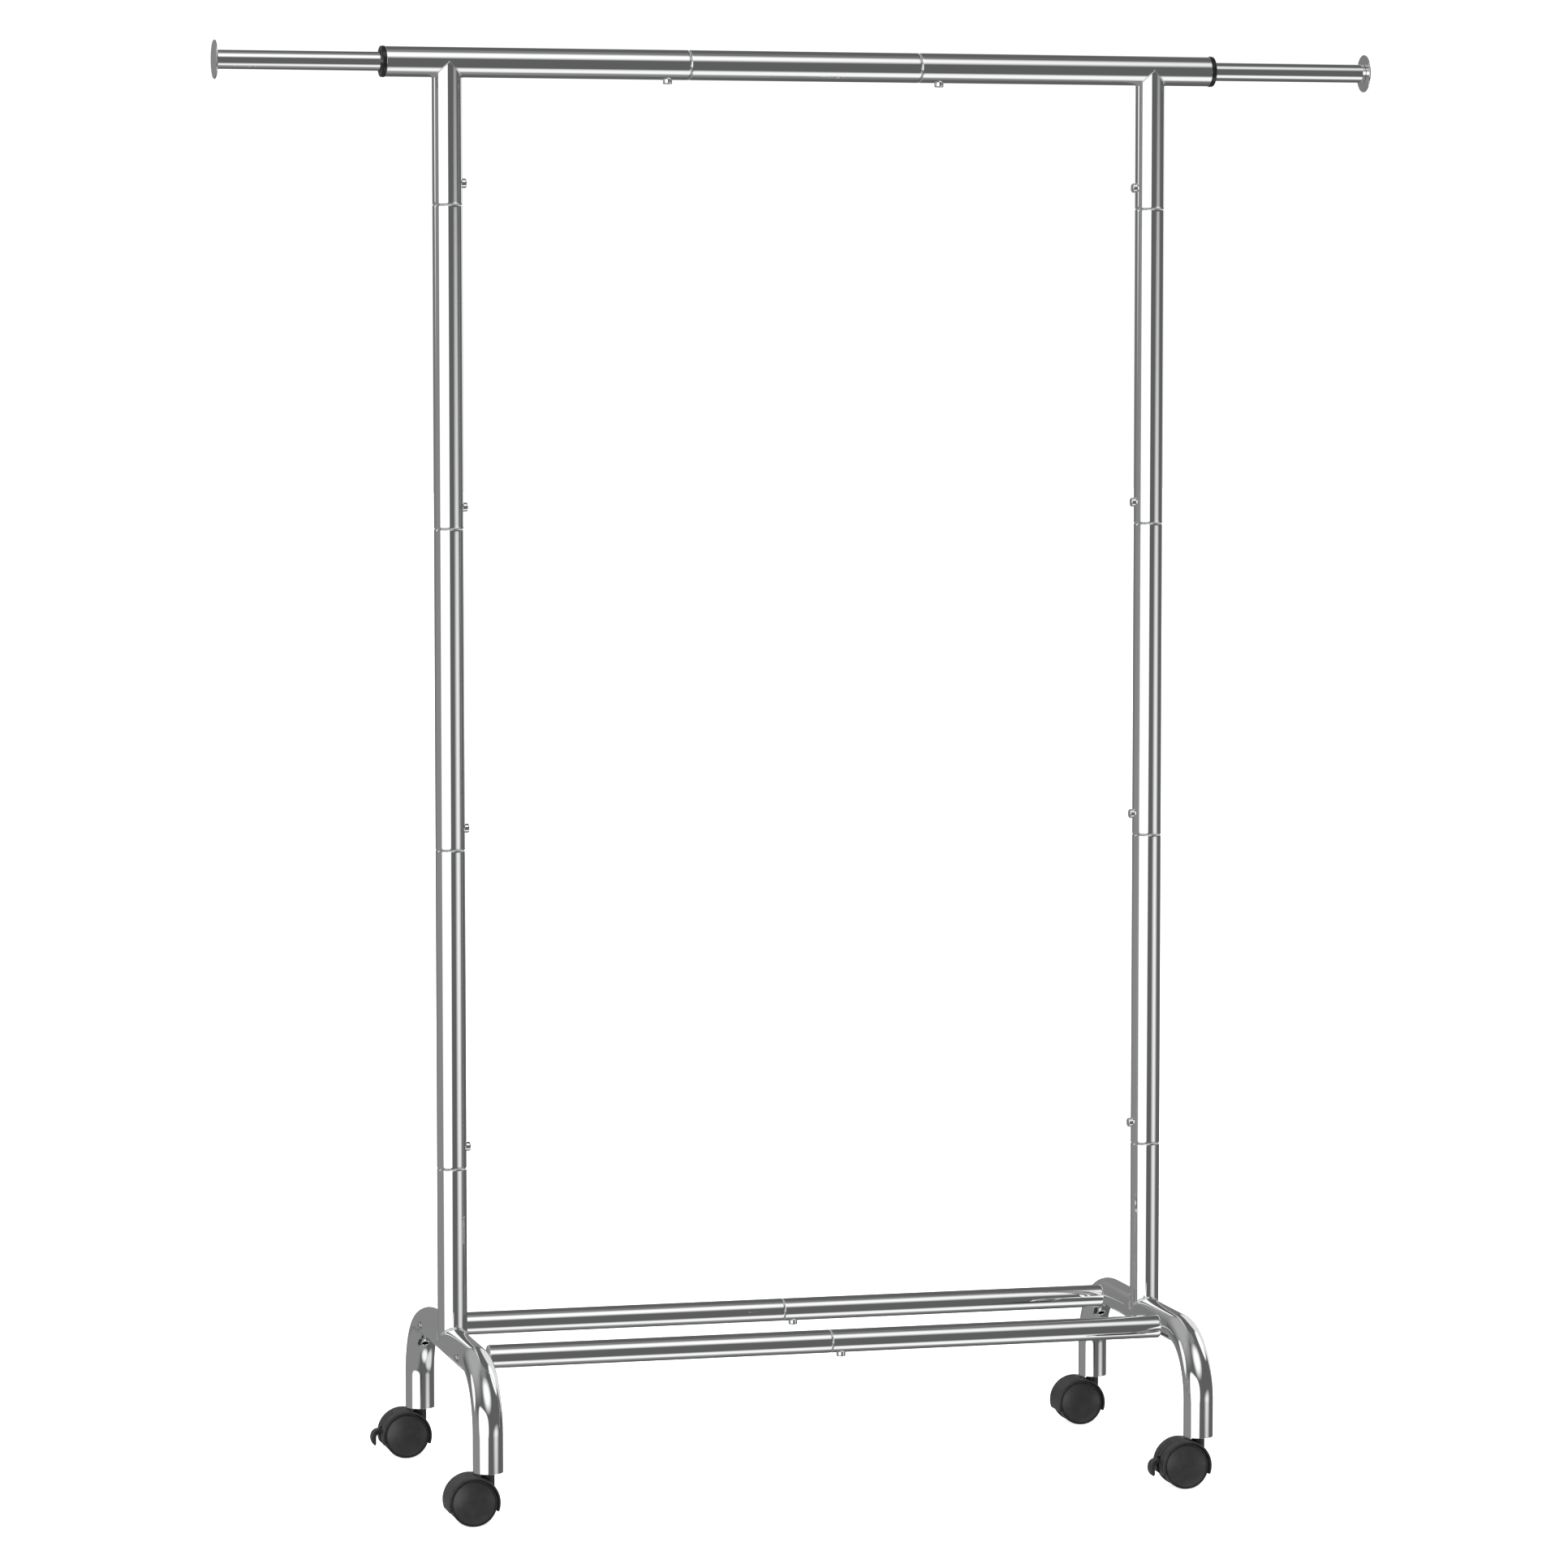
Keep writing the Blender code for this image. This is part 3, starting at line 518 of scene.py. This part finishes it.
rod_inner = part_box("right_slide_rod")[0].x
rod_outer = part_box("right_slide_rod")[1].x
rod_r = 10 * MM
rod_bore = rod_r - MM
stop_r = 12.5 * MM
stop_edge = rod_inner + 5 * MM
disc_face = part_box("right_end_disc")[1].x
disc_back = disc_face - 1.8 * MM
disc_r = 20.4 * MM
spigot_r = 8.7 * MM                 # the disc's spigot fits in the rod's bore
spigot_end = disc_back - 10 * MM
rod = turned("right_slide_rod_tube",
             [(rod_bore, rod_outer), (rod_r, rod_outer), (rod_r, stop_edge),
              (stop_r, stop_edge), (stop_r, rod_inner), (rod_bore, rod_inner)],
             (0, 0, bar_z), (1, 0, 0), 80)
disc = turned("right_end_disc_plate",
              [(0, disc_face), (disc_r * 0.5, disc_face), (disc_r, disc_face, 0.7 * MM),
               (disc_r, disc_back, 0.7 * MM), (spigot_r, disc_back), (spigot_r, spigot_end),
               (0, spigot_end)], (0, 0, bar_z), (1, 0, 0), 96)
hold(disc)
bpy.ops.object.mode_set(mode="EDIT")
bpy.ops.mesh.select_all(action="SELECT")
bpy.ops.mesh.flip_normals()         # so thin a plate comes out of the lathe inside out
bpy.ops.object.mode_set(mode="OBJECT")
fit(rod, "right_rod", chrome, "chrome", "right_slide_rod")
fit(disc, "right_rod", chrome, "chrome", "right_end_disc")
fit(duplicate(rod, "left_slide_rod_tube", turn=math.pi), "left_rod", chrome, "chrome",
    "left_slide_rod")
fit(duplicate(disc, "left_end_disc_plate", turn=math.pi), "left_rod", chrome, "chrome",
    "left_end_disc")


# ---- Collars
# A moulded black bush is pressed into each mouth of the bar. Its rounded lip covers the cut
# edge of the tube, and the rod runs in its bore.

def black_moulding(name="black_moulding", shade=0.02, rough=(0.28, 0.38), grain=1400, depth=0.1):
    """Black polypropylene from a spark-eroded mould: a fine matt grain with a soft sheen."""
    finish, tree, shader = new_finish(name)
    ramp = node(tree, "ShaderNodeValToRGB")
    ramp.color_ramp.elements[0].color = (shade * 0.85, shade * 0.85, shade * 0.87, 1)
    ramp.color_ramp.elements[1].color = (shade * 1.2, shade * 1.2, shade * 1.22, 1)
    tree.links.new(patches(tree, 120, 3, 0, 1), ramp.inputs["Fac"])
    tree.links.new(ramp.outputs["Color"], shader.inputs["Base Color"])
    tree.links.new(patches(tree, 260, 3, *rough), shader.inputs["Roughness"])
    bump = node(tree, "ShaderNodeBump")
    bump.inputs["Strength"].default_value = depth
    bump.inputs["Distance"].default_value = 0.0001
    tree.links.new(patches(tree, grain, 2, 0, 1), bump.inputs["Height"])
    tree.links.new(bump.outputs["Normal"], shader.inputs["Normal"])
    return finish


black = black_moulding()
bush_black = black_moulding("black_bush", 0.007, (0.2, 0.3))
collar_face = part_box("right_collar")[1].x
lip_r = 16.6 * MM
bush_r = tube_r - tube_wall - gap
collar_bore = rod_r + 0.25 * MM
lip_base = bar_mouth + gap
bush_end = bar_mouth - 35 * MM
funnel = 2.2 * MM                   # the bore opens out in the face
collar = turned("right_collar_bush",
                [(collar_bore, collar_face - funnel),
                 (collar_bore + funnel, collar_face, 0.5 * MM),
                 (lip_r - 0.2 * MM, collar_face, 1.4 * MM),
                 (lip_r, lip_base + 1.6 * MM), (lip_r, lip_base, 0.4 * MM), (bush_r, lip_base),
                 (bush_r, bush_end), (collar_bore, bush_end)],
                (0, 0, bar_z), (1, 0, 0), 80)
fit(collar, "frame", bush_black, "black_plastic", "right_collar")
fit(duplicate(collar, "left_collar_bush", turn=math.pi), "frame", bush_black, "black_plastic",
    "left_collar")


# ---- Caster stems
# A black sleeve is driven into the foot of each leg. It holds the steel pin on which the
# caster's hood turns.

sleeve_low, sleeve_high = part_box("front_left_stem")
sleeve_base = foot_z + 0.2 * MM
pin_r = 4.2 * MM
stem = turned("front_left_stem_sleeve",
              [(0, sleeve_high.z), (bush_r, sleeve_high.z, 2 * MM), (bush_r, sleeve_base, 0.4 * MM),
               (pin_r, sleeve_base), (pin_r, sleeve_low.z, 1 * MM), (0, sleeve_low.z)],
              (leg_x, -leg_y, 0), (0, 0, 1), 56)
caster_places = {
    "front_left": (0, 0, 0), "front_right": (-2 * leg_x, 0, 0),
    "rear_left": (0, 2 * leg_y, 0), "rear_right": (-2 * leg_x, 2 * leg_y, 0)}
for place, shift in caster_places.items():
    piece = stem if place == "front_left" else duplicate(stem, place + "_stem_sleeve", shift)
    fit(piece, "frame", black, "black_plastic", place + "_stem")


# ---- Caster hoods
# Each hood is one moulding: a round shell over the twin wheels, a web between them, and a
# neck that turns on the stem. The braked ones are slotted at the back for the lever and
# have two grooves over the top in line with the slot's sides.

axle_low, axle_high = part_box("front_left_axle")
axle_x = (axle_low.x + axle_high.x) / 2
axle_r = 3 * MM
wheel_r = 25 * MM
hood_r = 27.9 * MM
hood_wall = 2.2 * MM
hood_half = 18.2 * MM
web_half = 5.8 * MM
hood_low = 16 * MM
neck_r = 7 * MM
far = 40 * MM                       # a cutter that goes right through reaches this far
slot_half = 4.4 * MM                # half the width of a brake lever's slot
groove_half, groove_depth = 0.8 * MM, 2.5 * MM


def pin(radius, centre, axis, low, high, vertices=64):
    """A plain round cutter between two places along an axis."""
    deselect()
    turn = Vector((0, 0, 1)).rotation_difference(Vector(axis)).to_euler()
    bpy.ops.mesh.primitive_cylinder_add(
        vertices=vertices, radius=radius, depth=high - low, rotation=turn,
        location=Vector(centre) + Vector(axis) * (low + high) / 2)
    return bpy.context.object


def block(low, high):
    """A plain square cutter between two corners."""
    deselect()
    low, high = Vector(low), Vector(high)
    bpy.ops.mesh.primitive_cube_add(size=1, location=(low + high) / 2, scale=high - low)
    return bpy.context.object


def cut(piece, cutter, operation="DIFFERENCE"):
    apply_modifier(piece, "BOOLEAN", operation=operation, solver="EXACT", object=cutter)
    bpy.data.objects.remove(cutter)


def moulded_hood(name, braked):
    """One hood at the front left corner."""
    axle = Vector((axle_x, -leg_y, wheel_r))
    across = Vector((0, 1, 0))
    hood = turned(name, [(0, -hood_half), (hood_r, -hood_half, 1.6 * MM),
                         (hood_r, hood_half, 1.6 * MM), (0, hood_half)], axle, across, 96)
    cut(hood, pin(neck_r, (leg_x, -leg_y, 0), (0, 0, 1), wheel_r, foot_z - gap, 48), "UNION")
    for low, high in ((-far, -web_half), (web_half, far)):
        cut(hood, pin(hood_r - hood_wall, axle, across, low, high, 96))
    cut(hood, block((axle_x - far, -leg_y - far, -10 * MM),
                    (axle_x + far, -leg_y + far, hood_low)))
    cut(hood, pin(pin_r + gap, (leg_x, -leg_y, 0), (0, 0, 1), sleeve_low.z - MM, 60 * MM, 40))
    cut(hood, pin(axle_r + 0.1 * MM, axle, across, -far, far, 40))
    if braked:
        cut(hood, block((axle_x - 32 * MM, -leg_y - slot_half, wheel_r - 8 * MM),
                        (axle_x - 19 * MM, -leg_y + slot_half, wheel_r + 9.5 * MM)))
        for side in (-1, 1):
            middle = side * slot_half
            groove = pin(hood_r + 2 * MM, axle, across, middle - groove_half,
                         middle + groove_half, 96)
            cut(groove, pin(hood_r - groove_depth, axle, across, -far, far, 96))
            cut(groove, block((axle_x - far, -leg_y - far, wheel_r + 9 * MM),
                              (axle_x - 13 * MM, -leg_y + far, wheel_r + far)), "INTERSECT")
            cut(hood, groove)
    apply_modifier(hood, "BEVEL", width=0.45 * MM, segments=2, limit_method="ANGLE",
                   angle_limit=math.radians(40))
    return settle(hood, name, 40)


free_hood = moulded_hood("front_left_hood_shell", False)
braked_hood = moulded_hood("rear_left_hood_shell", True)
hold(braked_hood)
bpy.ops.transform.translate(value=caster_places["rear_left"])
bpy.ops.object.transform_apply(location=True, rotation=True, scale=True)
hoods = {"front_left": free_hood, "rear_left": braked_hood,
         "rear_right": duplicate(free_hood, "rear_right_hood_shell", caster_places["rear_right"]),
         "front_right": duplicate(braked_hood, "front_right_hood_shell",
                                  (-2 * leg_x, -2 * leg_y, 0))}
for place, hood in hoods.items():
    fit(hood, place + "_caster", black, "black_plastic", place + "_hood")


# ---- Axles and wheels
# A plain steel pin carries two moulded wheels, one each side of the web. Each wheel is a
# domed disc inside a rounded tread, in hard black plastic with a soft gloss.

def wheel_moulding():
    """Hard black plastic, smoother and glossier than the hoods."""
    finish = black_moulding("wheel_moulding", 0.018, (0.27, 0.3), 1700, 0.015)
    finish.node_tree.nodes["Principled BSDF"].inputs["Specular IOR Level"].default_value = 0.85
    return finish


wheel_black = wheel_moulding()
axle_half = 16.8 * MM
axle = pin(axle_r, (axle_x, -leg_y, wheel_r), (0, 1, 0), -axle_half, axle_half, 40)
settle(axle, "front_left_axle_pin")
apply_modifier(axle, "BEVEL", width=0.5 * MM, segments=2, limit_method="ANGLE",
               angle_limit=math.radians(40), harden_normals=True)

inner_face = 6.6 * MM
outer_face = inner_face + 12.2 * MM
disc_edge = 22.6 * MM
dome_height = 3 * MM


def wheel_section():
    """Half section of a wheel: domed disc, a fine ring groove, the tread, and a blind bore."""
    bore = axle_r + 0.2 * MM
    bore_end = outer_face - 1.9 * MM
    crown = outer_face - 0.6 * MM
    shoulder = crown - 2.6 * MM
    dome = [(step * MM, crown - dome_height * (step * MM / disc_edge) ** 2)
            for step in range(0, 22, 3)]
    return dome + [(disc_edge, crown - dome_height, 0.4 * MM),
                   (disc_edge + 0.25 * MM, crown - dome_height - 0.7 * MM),
                   (disc_edge + 0.8 * MM, shoulder), (wheel_r, shoulder, 0.8 * MM),
                   (wheel_r, inner_face, 1.4 * MM), (bore, inner_face), (bore, bore_end),
                   (0, bore_end)]


outer_wheel = turned("front_left_wheel_outer_disc", wheel_section(),
                     (axle_x, -leg_y, wheel_r), (0, -1, 0), 96)
inner_wheel = turned("front_left_wheel_inner_disc", wheel_section(),
                     (axle_x, -leg_y, wheel_r), (0, 1, 0), 96)
for place, shift in caster_places.items():
    at_rear = place.startswith("rear")
    here = place == "front_left"
    piece = axle if here else duplicate(axle, place + "_axle_pin", shift)
    fit(piece, place + "_caster", zinc, "zinc_steel", place + "_axle")
    for facing, wheel in (("front", outer_wheel), ("back", inner_wheel)):
        kind = "outer" if (facing == "front") != at_rear else "inner"
        name = f"{place}_wheel_{kind}"
        piece = wheel if here else duplicate(wheel, name + "_disc", shift)
        fit(piece, name + "_body", wheel_black, "wheel_plastic", name)


# ---- Brake levers
# A hooked foot tab, moulded in the same black plastic, comes out of the slot of a braked
# hood and turns in it. Two of the casters have one.

lever_half, tab_half = 4 * MM, 6.5 * MM


def brake_lever():
    """The rear left lever: its outline is drawn in steps, filled and thickened."""
    # Places in millimetres from the axle, along X and Z
    outline = [(-20.8, 6.6), (-25.5, 6.9), (-28.4, 7.1), (-31.2, 6.9), (-33.1, 6.2), (-34.8, 5.0),
               (-36.3, 3.3), (-37.4, 1.0), (-38.0, -2.0), (-37.9, -4.6), (-37.1, -7.4),
               (-35.9, -9.6), (-34.4, -11.4), (-33.7, -10.8), (-32.9, -8.6), (-33.0, -4.6),
               (-32.9, -1.4), (-32.3, 0.4), (-31.3, 1.7), (-29.6, 2.4), (-25.5, 2.6), (-20.8, 2.4)]
    middle = Vector((axle_x, leg_y, wheel_r))
    places = [middle + Vector((x * MM, -lever_half, z * MM)) for x, z in outline]
    deselect()
    bpy.ops.mesh.primitive_plane_add(size=MM, location=places[0])
    bpy.ops.object.mode_set(mode="EDIT")
    bpy.ops.mesh.merge(type="CENTER")
    for start, end in zip(places, places[1:] + places[:1]):
        bpy.ops.mesh.extrude_vertices_move(TRANSFORM_OT_translate={"value": end - start})
    bpy.ops.mesh.select_all(action="SELECT")
    bpy.ops.mesh.remove_doubles(threshold=0.02 * MM)
    bpy.ops.mesh.select_all(action="SELECT")
    bpy.ops.mesh.edge_face_add()
    bpy.ops.mesh.extrude_region_move(TRANSFORM_OT_translate={"value": (0, 2 * lever_half, 0)})
    close_up()
    bpy.ops.object.mode_set(mode="OBJECT")
    lever = bpy.context.object
    for corner in lever.data.vertices:
        place = lever.matrix_world @ corner.co
        if place.x < axle_x - 30.5 * MM:        # the foot tab is wider than the root
            corner.co.y = (corner.co.y - lever_half) * tab_half / lever_half + lever_half
    return settle(lever, "rear_left_lever")


lever = brake_lever()
hold(lever)
apply_modifier(lever, "BEVEL", width=0.6 * MM, segments=3, limit_method="ANGLE",
               angle_limit=math.radians(50), harden_normals=True)
fit(lever, "rear_left_lever_body", black, "black_plastic", "rear_left_brake_lever")
fit(duplicate(lever, "front_right_lever", (-2 * leg_x, -2 * leg_y, 0)), "front_right_lever_body",
    black, "black_plastic", "front_right_brake_lever")


# ---- Studio
# A pale floor and an even white sweep. The chrome shows a broad white bank at the front left,
# a soft lamp overhead, a dark gap where the camera stands, and smaller lamps to the right.

bpy.ops.object.camera_add(location=(-1.5581, -5.9298, 1.2355),
                          rotation=(math.radians(90 - 4.4685), 0, math.radians(-14.5195)))
camera = bpy.context.object
camera.name = "camera"
camera.data.lens = 129.69
camera.data.sensor_width = 36
camera.data.clip_end = 200
bpy.context.scene.camera = camera
bpy.context.scene.view_settings.view_transform = "Standard"

deselect()
bpy.ops.mesh.primitive_plane_add(size=80, location=(0, 0, 0))
floor = bpy.context.object
floor.name = "floor"
floor.visible_glossy = False
paint, paint_tree, paint_shader = new_finish("floor_paint")
paint_shader.inputs["Roughness"].default_value = 0.9
paint_shader.inputs["Specular IOR Level"].default_value = 0
pale = node(paint_tree, "ShaderNodeValToRGB")
pale.color_ramp.elements[0].color = (0.88, 0.88, 0.88, 1)
pale.color_ramp.elements[1].color = (0.92, 0.92, 0.92, 1)
paint_tree.links.new(patches(paint_tree, 2, 2, 0, 1), pale.inputs["Fac"])
paint_tree.links.new(pale.outputs["Color"], paint_shader.inputs["Base Color"])
paint_shader.inputs["Emission Color"].default_value = (1, 1, 1, 1)
paint_shader.inputs["Emission Strength"].default_value = 0.82
floor.data.materials.append(paint)

deselect()
bpy.ops.object.light_add(type="SUN", location=(-1, -2, 4),
                         rotation=(math.radians(22), math.radians(-14), 0))
sun = bpy.context.object
sun.data.energy = 2.6
sun.data.angle = math.radians(70)
sun.visible_glossy = False


def level(tree, operation, *inputs):
    """A Math node fed by sockets or numbers."""
    maths = node(tree, "ShaderNodeMath", operation=operation)
    for index, value in enumerate(inputs):
        if isinstance(value, (int, float)):
            maths.inputs[index].default_value = value
        else:
            tree.links.new(value, maths.inputs[index])
    return maths.outputs[0]


def soft_edge(tree, distance, inside, outside, brightness):
    """Full brightness inside, none outside, and an even fall-off between."""
    edge = node(tree, "ShaderNodeMapRange", interpolation_type="SMOOTHSTEP")
    edge.inputs["From Min"].default_value = inside
    edge.inputs["From Max"].default_value = outside
    edge.inputs["To Min"].default_value = brightness
    edge.inputs["To Max"].default_value = 0
    tree.links.new(distance, edge.inputs["Value"])
    return edge.outputs["Result"]


studio = bpy.data.worlds.new("studio")
studio.use_nodes = True
bpy.context.scene.world = studio
tree = studio.node_tree
place = node(tree, "ShaderNodeTexCoord")
axes = node(tree, "ShaderNodeSeparateXYZ")
tree.links.new(place.outputs["Generated"], axes.inputs["Vector"])
to_front = level(tree, "MULTIPLY", axes.outputs["Y"], -1)
degrees = 180 / math.pi
bearing = level(tree, "MULTIPLY", level(tree, "ARCTAN2", axes.outputs["X"], to_front), degrees)
height = level(tree, "MULTIPLY", level(tree, "ARCSINE", axes.outputs["Z"]), degrees)

# Walls: (bearing, height, half width, half height, softness, brightness), in degrees
walls = [(-100, -50, 88, 62, 0.25, 0.25), (-150, 50, 85, 38, 0.6, 0.40),
         (138, 20, 23, 26, 0.12, 0.78), (54, -6, 18, 7.5, 0.95, 0.92), (76, -33, 34, 16, 0.4, 0.75),
         (-120, 12, 11, 12, 0.15, 1.0)]
total = 0.118
for east, up, half_width, half_height, softness, brightness in walls:
    across = level(tree, "DIVIDE", level(tree, "SUBTRACT", bearing, east), half_width)
    upwards = level(tree, "DIVIDE", level(tree, "SUBTRACT", height, up), half_height)
    distance = level(tree, "SQRT", level(tree, "ADD",
                                         level(tree, "MULTIPLY", across, across),
                                         level(tree, "MULTIPLY", upwards, upwards)))
    patch = soft_edge(tree, distance, 1 - softness, 1 + softness, brightness)
    total = level(tree, "MAXIMUM", patch, total)

# The main bank at the front left is a rounded rectangle
across = level(tree, "POWER", level(tree, "ABSOLUTE", level(
    tree, "DIVIDE", level(tree, "SUBTRACT", bearing, -42), 38)), 2.6)
upwards = level(tree, "POWER", level(tree, "ABSOLUTE", level(
    tree, "DIVIDE", level(tree, "SUBTRACT", height, 3.5), 22.5)), 2.6)
total = level(tree, "MAXIMUM", total, soft_edge(
    tree, level(tree, "ADD", across, upwards), 0.8, 1.25, 1.12))

# Round lamps: (bearing, height, inner and outer radius, brightness), in degrees
for east, up, inner, outer, brightness in (
        (2, 53, 9, 37, 1.15), (107, 35, 14, 19.5, 1.1), (-114, 14, 7, 11, 1.05),
        (40, -58, 8, 29, 1.0), (0, 90, 8, 30, 0.25), (0, -90, 10, 40, 0.27),
        (180, 0, 18, 30, 0.24)):
    flat = math.cos(math.radians(up))
    towards = (flat * math.sin(math.radians(east)), -flat * math.cos(math.radians(east)),
               math.sin(math.radians(up)))
    aim = node(tree, "ShaderNodeVectorMath", operation="DOT_PRODUCT")
    aim.inputs[1].default_value = towards
    tree.links.new(place.outputs["Generated"], aim.inputs[0])
    away = level(tree, "MULTIPLY", level(tree, "ARCCOSINE", aim.outputs["Value"]), degrees)
    total = level(tree, "MAXIMUM", total, soft_edge(tree, away, inner, outer, brightness))

lamp = tree.nodes["Background"]
tree.links.new(total, lamp.inputs["Color"])
backdrop = node(tree, "ShaderNodeBackground")
backdrop.inputs["Color"].default_value = (1, 1, 1, 1)
backdrop.inputs["Strength"].default_value = 1.05
path = node(tree, "ShaderNodeLightPath")
choice = node(tree, "ShaderNodeMixShader")
tree.links.new(path.outputs["Is Camera Ray"], choice.inputs[0])
tree.links.new(lamp.outputs[0], choice.inputs[1])
tree.links.new(backdrop.outputs[0], choice.inputs[2])
tree.links.new(choice.outputs[0], tree.nodes["World Output"].inputs["Surface"])
